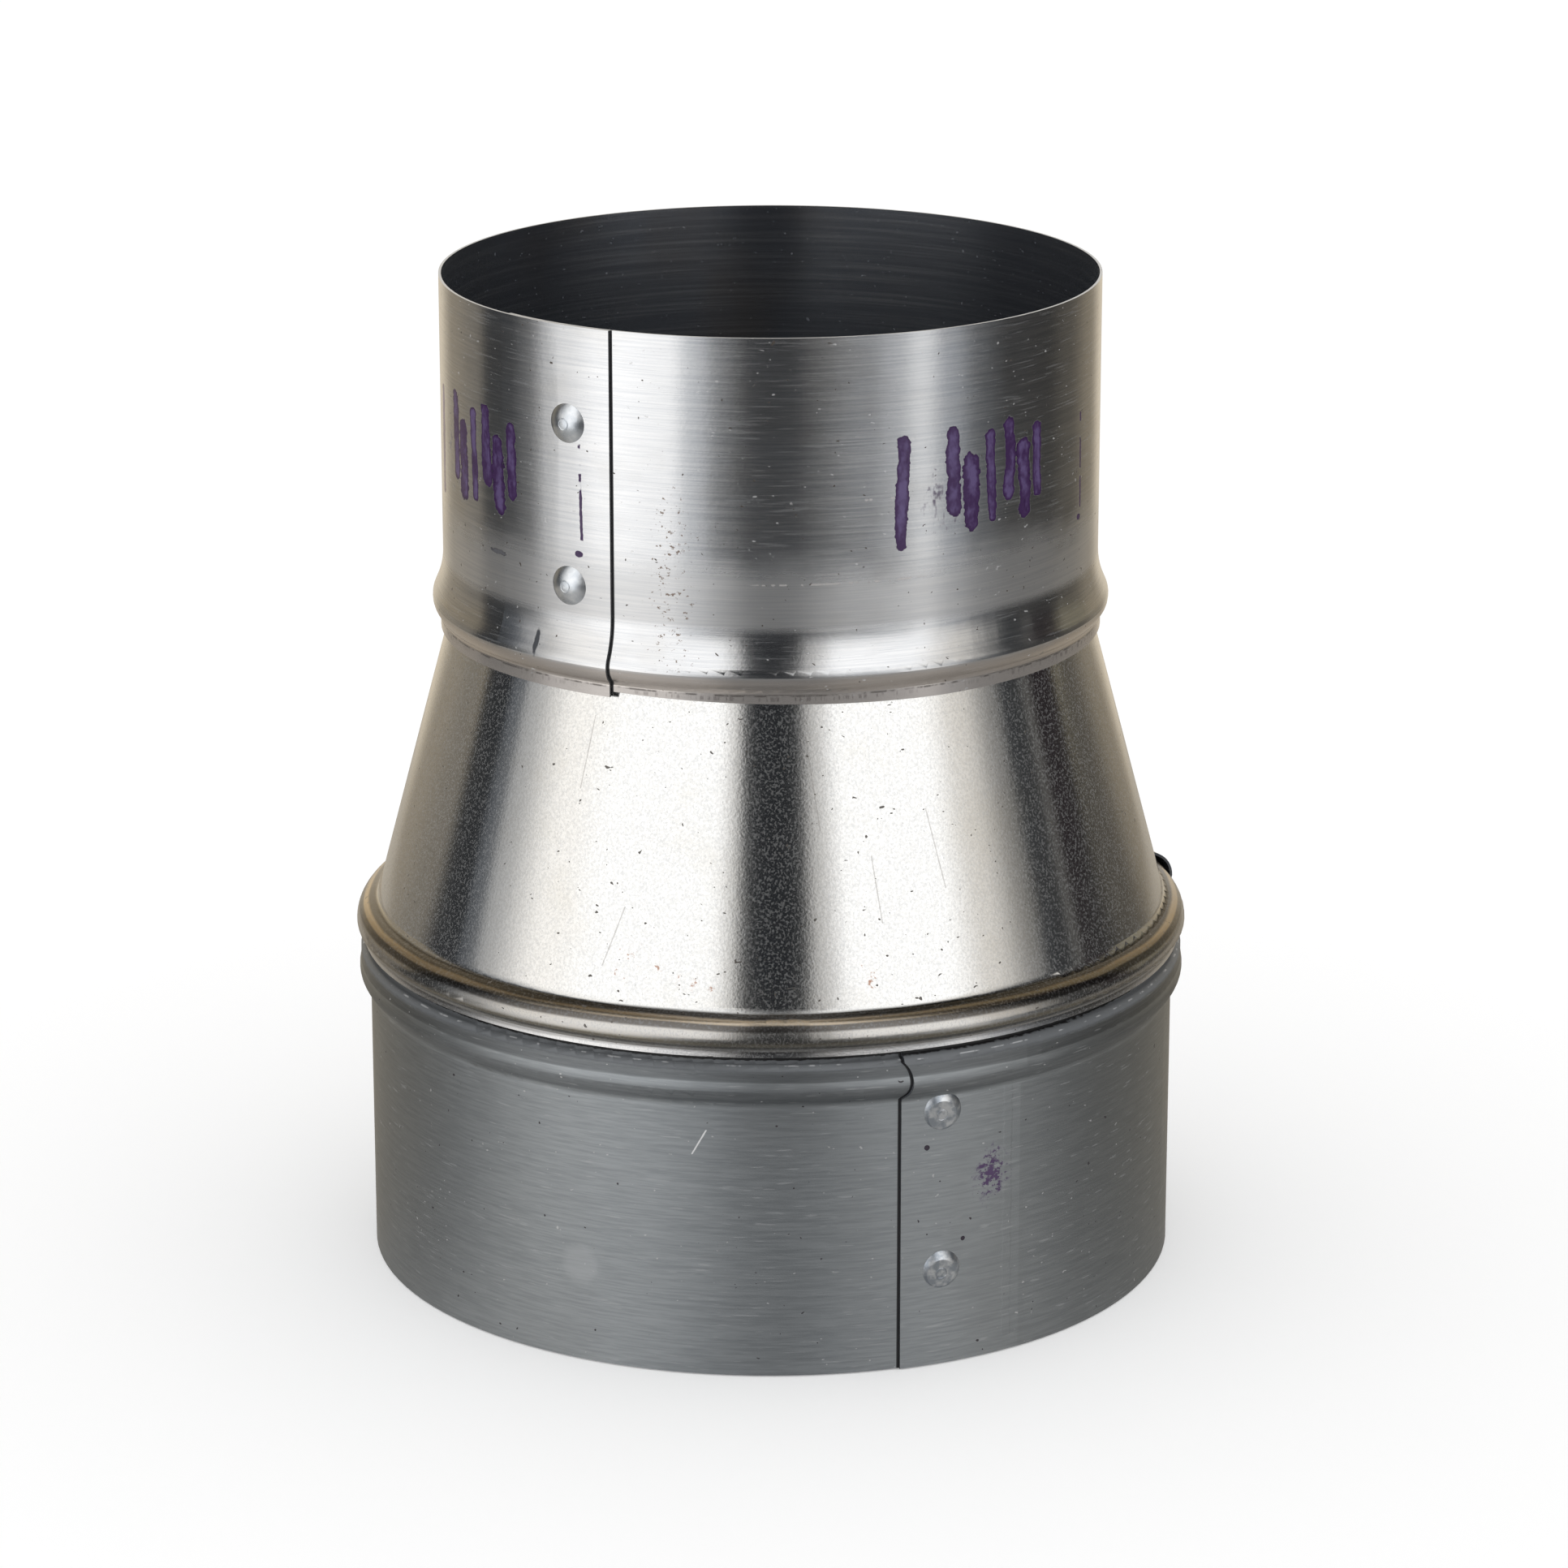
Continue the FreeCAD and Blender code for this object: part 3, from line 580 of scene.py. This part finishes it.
# %% [markdown]
# ## The flange and the seam
# The roller that pressed the flange left a dull band, short upright ticks and a broken dark
# groove over it. The lap's cut edge is a real step of one sheet, and a thin strip of painted
# shadow follows it. A dent in the bead gets a dark spot of painted shade.

# %% Flange, seam shadow and dent shade
SMALL_SEAM = -27.28
BEAD_DENT_SHADE = (-41.7, SMALL_BEAD_CREST + 2.0, 0.9, 3.4)
SMALL_BEAD_RADIUS = SMALL_RADIUS + 1.5

flange = small.band(small.height, SMALL_FOOT - 0.2, SMALL_FOOT + 1.75, 0.12)
small.film(flange, colour(0.42, 0.395, 0.38), 0.25)
ticks = small.times(small.patches(0.50, 0.60, 2300.0, 160.0, 1.0),
                    small.patches(0.30, 0.55, 60.0, 8.0, 1.0))
ticks = small.times(ticks, small.band(small.height, SMALL_FOOT + 0.8, SMALL_FOOT + 1.5, 0.25))
small.film(ticks, colour(0.25, 0.225, 0.215), 0.3)
groove = small.times(small.band(small.height, SMALL_FOOT + 1.5, SMALL_FOOT + 1.8, 0.14),
                     small.patches(0.40, 0.58, 420.0, 200.0, 3.0))
small.film(groove, colour(0.14, 0.125, 0.115), 0.4)
# A thin strip of painted shadow beside the lap's cut edge.
small.seam(SMALL_SEAM, SMALL_RADIUS)
# The dent in the bead, painted as a dark spot of shade.
dent_shade = small.spot(BEAD_DENT_SHADE, SMALL_BEAD_RADIUS, 0.2, 0.6)
small.film(dent_shade, colour(0.07, 0.075, 0.085), 0.7)
print("flange and seam make", len(small.tree.nodes), "nodes")

# %% [markdown]
# ## Ink
# A strip of purple ink marks ran along the sheet before it was rolled, so the same group
# of strokes comes back every 87 degrees. What is left of an angle when whole repeats are
# taken off it is the same in every group, so one list of strokes does for all of them.
# The strokes are ragged where the ink ran, deep at their edges and paler in the middle,
# where it dried thin. They are plain strokes, not letters. A thin broken thread of ink
# runs up between the groups.

# %% Ink marks
INK_START = 18.9
INK_REPEAT = 86.6
INK_END = 321.0
# The strokes, the thread, its dot and the smear are placed from the start of a group.
INK_STROKES = [
    (3.6, 125.0, 142.6, 2.0, 0.02), (13.2, 129.6, 143.4, 2.4, -0.04),
    (16.9, 126.6, 139.2, 2.9, -0.05), (21.2, 127.4, 141.8, 1.8, -0.05),
    (25.4, 130.4, 143.2, 2.4, -0.04), (29.1, 127.0, 139.4, 2.9, -0.05),
    (32.7, 129.6, 141.6, 2.0, -0.04),
]
INK_SMEAR = (12.2, 132.0, 7.0, 8.0)
INK_THREAD = (48.3, 125.0, 142.0, 0.5, -0.03)
INK_DOT = (47.9, 123.6, 1.3, 0.9)

along = small.math("FLOORED_MODULO", small.minus(small.angle, INK_START), 360.0)
local = small.math("FLOORED_MODULO", along, INK_REPEAT)
near, *others = [small.reach(stroke, SMALL_RADIUS, local, 0.8) for stroke in INK_STROKES]
for reach in others:
    near = small.math("MINIMUM", near, reach)
near = small.add(near, small.uneven(small.noise(300.0, 160.0, 2.0), 0.0, 1.3))
smear = small.times(small.spot(INK_SMEAR, SMALL_RADIUS, 0.8, 0.5, local),
                    small.patches(0.50, 0.66, 700.0, 260.0, 2.0))
thread = small.times(small.bar(INK_THREAD, SMALL_RADIUS, local),
                     small.patches(0.42, 0.50, 90.0, 420.0, 1.0))
thread = small.most(thread, small.spot(INK_DOT, SMALL_RADIUS, 0.2, 0.3, local))
ink = small.most(small.between(near, 1.10, 0.82), small.times(smear, 0.35))
ink = small.times(small.most(ink, thread), small.between(along, INK_END + 1, INK_END - 1))
ink = small.times(ink, small.outside)

patchy = small.patches(0.36, 0.62, 330.0, 240.0, 3.0, 0.65)
pale = small.times(small.times(small.between(near, 0.80, 0.40), patchy), 0.6)
purple = small.mix(pale, colour(0.045, 0.018, 0.075), colour(0.15, 0.11, 0.25))
dried = small.uneven(small.patches(0.70, 0.62, 900.0, 500.0, 2.0), 0.90, 0.20)
small.film(small.times(ink, dried), purple)
print(len(INK_STROKES), "strokes, again every", INK_REPEAT, "degrees up to", INK_END)

# %% [markdown]
# ## Relief of the small collar
# Four reliefs lie over each other, from wide to narrow: the waves of a sheet rolled by
# hand, the brush lines, a ragged grain and a finer one. The widest is a fifth of a
# millimetre deep and bends the reflections; the others only break them up.

# %% Relief of the small collar
hair = small.noise(160.0, 5200.0, 2.0)
rough = small.add(small.uneven(fine, 0.215, 0.06), small.times(painted_milky_reflection, 0.08))
relief = small.bump(small.noise(26.0, 20.0, 1.0), 0.20)
relief = small.bump(small.add(fine, small.times(hair, 0.5)), 0.0035, relief)
relief = small.bump(small.rag, 0.006, relief)
relief = small.bump(small.noise(2400.0, 3000.0, 1.0), 0.003, relief)
cover("small_collar", small.finish(rough, relief))

# %% [markdown]
# ## The taper
# The taper came from a coil with a bright, sandy coat. It is smooth enough to mirror the
# windows, and its grain breaks up the edge of every band into fine speckle. Round the foot its
# colour is painted in bands of light and shade that follow the height over the end of the lip:
# painted highlights on the lip and the bead, dark lines of painted shade with a brassy painted
# reflection between them, and painted shade in the crease.

# %% Coat of the taper
# Painted highlights, shade and reflection round the foot, each with its height over the lip's
# end.
FOOT_PAINTED_LIGHT_AND_SHADE = [
    (0.0, 0.66, 0.65, 0.64), (0.5, 0.66, 0.65, 0.64), (0.8, 0.38, 0.37, 0.36),
    (1.6, 0.34, 0.335, 0.32), (2.0, 0.24, 0.225, 0.19), (2.5, 0.25, 0.23, 0.19),
    (2.9, 0.44, 0.42, 0.39), (3.6, 0.54, 0.525, 0.50), (4.1, 0.54, 0.52, 0.49),
    (4.4, 0.15, 0.14, 0.13), (5.0, 0.13, 0.12, 0.11), (5.2, 0.46, 0.39, 0.30),
    (5.6, 0.46, 0.39, 0.30), (5.8, 0.09, 0.085, 0.08), (6.2, 0.09, 0.085, 0.08),
    (6.5, 0.74, 0.735, 0.72),
]

taper = Sheet("bright_speckled_zinc", 0.25)
sand = taper.noise(2600.0, 2300.0, 1.0)
cloud = taper.noise(60.0, 60.0, 3.0)
taper.tone = taper.mix(taper.between(sand, 0.35, 0.65), colour(0.72, 0.715, 0.70),
                       colour(0.82, 0.815, 0.80))
taper.tint(taper.times(taper.between(cloud, 0.48, 0.75), 0.35), colour(0.68, 0.65, 0.58))

wobble = taper.uneven(taper.noise(30.0, 20.0, 2.0), 0.0, 0.8)
climb = taper.minus(taper.add(taper.height, wobble), TAPER_FOOT)
foot = taper.between(taper.height, TAPER_CREASE + 0.1, TAPER_CREASE - 0.3)
# The foot is coloured with these bands of painted light and shade.
taper.tint(foot, taper.shades_along(climb, FOOT_PAINTED_LIGHT_AND_SHADE))
taper.film(taper.patches(0.52, 0.60, 3000.0, 2600.0, 1.0), colour(0.36, 0.39, 0.43), 0.12)
print(taper.material.name, "with", len(FOOT_PAINTED_LIGHT_AND_SHADE), "shades at the foot")

# %% [markdown]
# ## Marks on the taper
# The cone has dark pits, three faint rusty stains low on its front and a few long thin
# scratches, some of them at the back. Right under the small collar's flange it gets a dark line
# of painted shadow, and its own seam has the strip of painted shadow of the others.

# %% Marks on the taper
TAPER_SEAM = 105.0
TAPER_LOW_RADIUS = 60.0
TAPER_MIDDLE_RADIUS = 57.0
STAINS = [(-19.6, 64.0, 6.0, 4.0), (-11.0, 62.0, 5.0, 3.0), (14.5, 62.4, 3.0, 4.0)]
SCRATCH_WIDTH = 0.22
# Each scratch is an angle, a low and a high end and a lean.
SCRATCHES = [
    (6.8, 84.0, 98.0, -0.14), (26.0, 74.0, 86.0, -0.16), (-23.0, 63.0, 72.0, 0.30),
    (16.0, 70.0, 80.0, -0.10), (-31.0, 88.0, 99.0, 0.10), (128.0, 66.0, 88.0, 0.12),
    (-140.0, 70.0, 92.0, -0.10), (170.0, 76.0, 90.0, 0.15),
]

pits = taper.patches(0.262, 0.222, 950.0, 1250.0, 1.0, warp=0.3)
taper.film(pits, colour(0.11, 0.10, 0.09), 0.8)
rubbed = taper.patches(0.56, 0.68, 620.0, 520.0, 3.0, 0.7)
for place in STAINS:
    stain = taper.times(taper.spot(place, TAPER_LOW_RADIUS, 0.9, 0.4), rubbed)
    taper.film(stain, colour(0.42, 0.24, 0.17), 0.45)
lines = 0.0
for angle, low, high, lean in SCRATCHES:
    scratch = (angle, low, high, SCRATCH_WIDTH, lean)
    lines = taper.most(lines, taper.bar(scratch, TAPER_MIDDLE_RADIUS, taper.angle))
taper.film(lines, colour(0.26, 0.24, 0.22), 0.22)
# A line of painted shadow under the small collar's flange.
painted_shadow_under_flange = taper.between(taper.height, SMALL_FOOT + 0.3, SMALL_FOOT + 0.55)
taper.film(painted_shadow_under_flange, colour(0.12, 0.11, 0.105), 0.3)
# The painted shadow beside the taper's lap.
taper.seam(TAPER_SEAM, TAPER_LOW_RADIUS)
print(len(STAINS), "stains and", len(SCRATCHES), "scratches")

# %% [markdown]
# ## Relief of the taper
# The taper mirrors more clearly than the collars, so it is smoother, and the roller left
# its foot a little rougher. Its grain is sand and leaning flecks, not brush lines.

# %% Relief of the taper
fleck = taper.noise(1000.0, 3000.0, 2.0, lean=0.25)
rough = taper.add(taper.uneven(cloud, 0.13, 0.08), taper.times(foot, 0.06))
relief = taper.bump(taper.noise(22.0, 15.0, 1.0), 0.18)
relief = taper.bump(taper.add(sand, taper.times(fleck, 0.8)), 0.006, relief)
cover("taper", taper.finish(rough, relief))

# %% [markdown]
# ## The large collar
# This sheet had a duller coat: mid grey, a little blue, full of short pale brush dashes.
# The stop bead gets a painted highlight along its upper and its lower edge and painted shade
# between them and under the taper's lip, so the coat is multiplied by a brightness that follows
# the depth below the taper's lip.

# %% Coat of the large collar
# Painted light and shade: brightness at each depth below the taper's lip.
BEAD_PAINTED_LIGHT_AND_SHADE = [
    (0.0, 0.68), (3.5, 0.62), (3.75, 0.68), (3.95, 1.08), (4.5, 0.94), (5.5, 0.70),
    (7.3, 0.66), (7.9, 0.96), (8.3, 1.16), (9.0, 1.0),
]

large = Sheet("dull_grey_zinc", 0.68)
fine = large.noise(150.0, 2900.0, 4.0, 0.64)
large.tone = large.mix(large.between(fine, 0.30, 0.70), colour(0.345, 0.368, 0.386),
                       colour(0.435, 0.460, 0.478))
broad = large.patches(0.45, 0.75, 38.0, 9.0, 2.0)
large.tint(large.times(broad, 0.4), colour(0.33, 0.34, 0.345))
wobble = large.uneven(large.noise(24.0, 12.0, 2.0), 0.0, 0.8)
depth = large.minus(TAPER_FOOT, large.add(large.height, wobble))
bead_painted_light_and_shade = large.shades_along(depth, [(down, *[light] * 3) for down, light in BEAD_PAINTED_LIGHT_AND_SHADE])
# The coat is multiplied by the painted light and shade of the stop bead.
large.tone = large.mix(1.0, large.tone, bead_painted_light_and_shade, "MULTIPLY")
print(large.material.name, "with", len(BEAD_PAINTED_LIGHT_AND_SHADE), "shades over the stop bead")

# %% [markdown]
# ## Marks on the large collar
# It has short pale dashes, specks and pits, a purple smudge, two dark dots, a pale scratch
# and a faint round mark.

# %% Marks on the large collar
SMUDGE = (31.5, 29.4, 5.0, 7.0)
DOTS = [(21.5, 35.4, 0.8, 0.8), (27.0, 19.8, 0.7, 0.7)]
PALE_SCRATCH = (-9.6, 35.5, 39.5, 0.25, 0.5)
ROUND_MARK = (-26.9, 15.5, 6.0, 6.0)

large.film(large.patches(0.66, 0.74, 230.0, 2700.0, 1.0), grey(0.60), 0.16)
large.film(large.patches(0.755, 0.79, 1000.0, 1400.0, 1.0), grey(0.62), 0.35)
large.film(large.patches(0.235, 0.20, 900.0, 1100.0, 1.0), colour(0.06, 0.055, 0.06), 0.7)
smudge = large.times(large.spot(SMUDGE, LARGE_RADIUS, 0.5, 0.7),
                     large.patches(0.42, 0.60, 700.0, 900.0, 4.0, 0.7))
large.film(smudge, colour(0.10, 0.06, 0.14), 0.65)
for place in DOTS:
    large.film(large.spot(place, LARGE_RADIUS, 0.2), colour(0.03, 0.02, 0.035))
large.film(large.bar(PALE_SCRATCH, LARGE_RADIUS, large.angle), grey(0.75), 0.7)
round_mark = large.spot(ROUND_MARK, LARGE_RADIUS, 0.1, 0.3)
large.tint(large.times(round_mark, 0.35), colour(0.56, 0.58, 0.60))
print("marks make", len(large.tree.nodes), "nodes")

# %% [markdown]
# ## Under the taper's lip
# The taper's lip overhangs the large collar. The gap is painted black as shadow, and under it
# runs a dull band of painted shade with a few bright nicks, where the lip rubs. Both have ragged
# edges. The lap's cut edge is drawn back in a shallow arc where the stop bead crosses it, so the
# strip of painted shadow follows the same arc: its angle is worked out from the height.

# %% Gap shadow, shade band and seam shadow of the large collar
LARGE_SEAM = 17.80
ARC_MIDDLE = TAPER_FOOT - 4.7
ARC_RADIUS = 4.13
ARC_CENTRE_OFF_EDGE = 2.73
DEGREES_PER_MM = 0.869  # round the stop bead

ragged_height = large.add(large.height, large.times(large.rag, 0.4))
# A dull band of painted shade under the lip.
painted_shade_under_lip = large.between(ragged_height, TAPER_FOOT - 2.5, TAPER_FOOT - 1.6)
large.film(painted_shade_under_lip, colour(0.16, 0.17, 0.18), 0.75)
nicks = large.times(large.patches(0.50, 0.64, 420.0, 200.0, 3.0),
                    large.band(large.height, TAPER_FOOT - 1.3, TAPER_FOOT - 1.15, 0.10))
large.film(nicks, colour(0.55, 0.56, 0.57), 0.4)
# The gap under the lip, painted black as shadow.
painted_gap_shadow = large.between(ragged_height, TAPER_FOOT - 0.75, TAPER_FOOT - 0.5)
large.film(painted_gap_shadow, colour(0.015, 0.015, 0.016), 0.9)

up = large.minus(large.height, ARC_MIDDLE)
half_chord = large.most(large.minus(ARC_RADIUS ** 2, large.times(up, up)), 0.0)
half_chord = large.math("SQRT", half_chord)
drawn_back = large.most(large.minus(half_chord, ARC_CENTRE_OFF_EDGE), 0.0)
edge = large.add(large.times(drawn_back, DEGREES_PER_MM), LARGE_SEAM)
# The painted shadow beside the lap's cut edge.
large.seam(edge, LARGE_RADIUS, -1.0)
print("edge drawn back by up to", round(ARC_RADIUS - ARC_CENTRE_OFF_EDGE, 2), "mm")

# %% [markdown]
# ## Relief of the large collar
# The sheet's hidden first end prints through the outer layer as a faint upright line,
# beside the rivets. It is a relief of about a hundredth of a millimetre, too little to
# model. The coat is rougher than those of the other sheets, so it mirrors only dimly.

# %% Relief of the large collar
HIDDEN_END = (34.0, 2.0, 44.0, 1.6, 0.0)

rough = large.uneven(fine, 0.50, 0.10)
hidden_end = large.bar(HIDDEN_END, LARGE_RADIUS, large.angle)
relief = large.bump(large.noise(24.0, 16.0, 1.0), 0.22)
relief = large.bump(large.times(hidden_end, 0.5), 0.025, relief)
relief = large.bump(fine, 0.016, relief)
cover("large_collar", large.finish(rough, relief))

# %% [markdown]
# ## The rivets
# Rivets are turned from wire and plated after, so their coat is finer and bluer than
# the sheet. The hammer left their faces faintly uneven.

# %% Rivet finish
def rivet_finish(name, shade, rough):
    rivet = Recipe(name)
    wear = rivet.noise(700.0, 700.0, 3.0)
    tone = rivet.mix(rivet.between(wear, 0.40, 0.68), shade, colour(0.78, 0.80, 0.82))
    dents = rivet.bump(rivet.noise(800.0, 800.0, 2.0), 0.03)
    for socket, value in (("Base Color", tone), ("Metallic", 1.0),
                          ("Roughness", rivet.uneven(wear, rough, 0.2)), ("Normal", dents)):
        rivet.put(rivet.shader.inputs[socket], value)
    return rivet.material


BRIGHT_RIVET = colour(0.62, 0.655, 0.69)
GREY_RIVET = colour(0.42, 0.46, 0.51)
cover("small_collar_rivets", rivet_finish("bright_zinc_rivet", BRIGHT_RIVET, 0.30))
cover("taper_rivets", rivet_finish("taper_zinc_rivet", BRIGHT_RIVET, 0.30))
cover("large_collar_rivets", rivet_finish("grey_zinc_rivet", GREY_RIVET, 0.36))

# %% [markdown] ## Finish Nothing was added to the solids, so the box of what is seen
# has to be the box of the part.
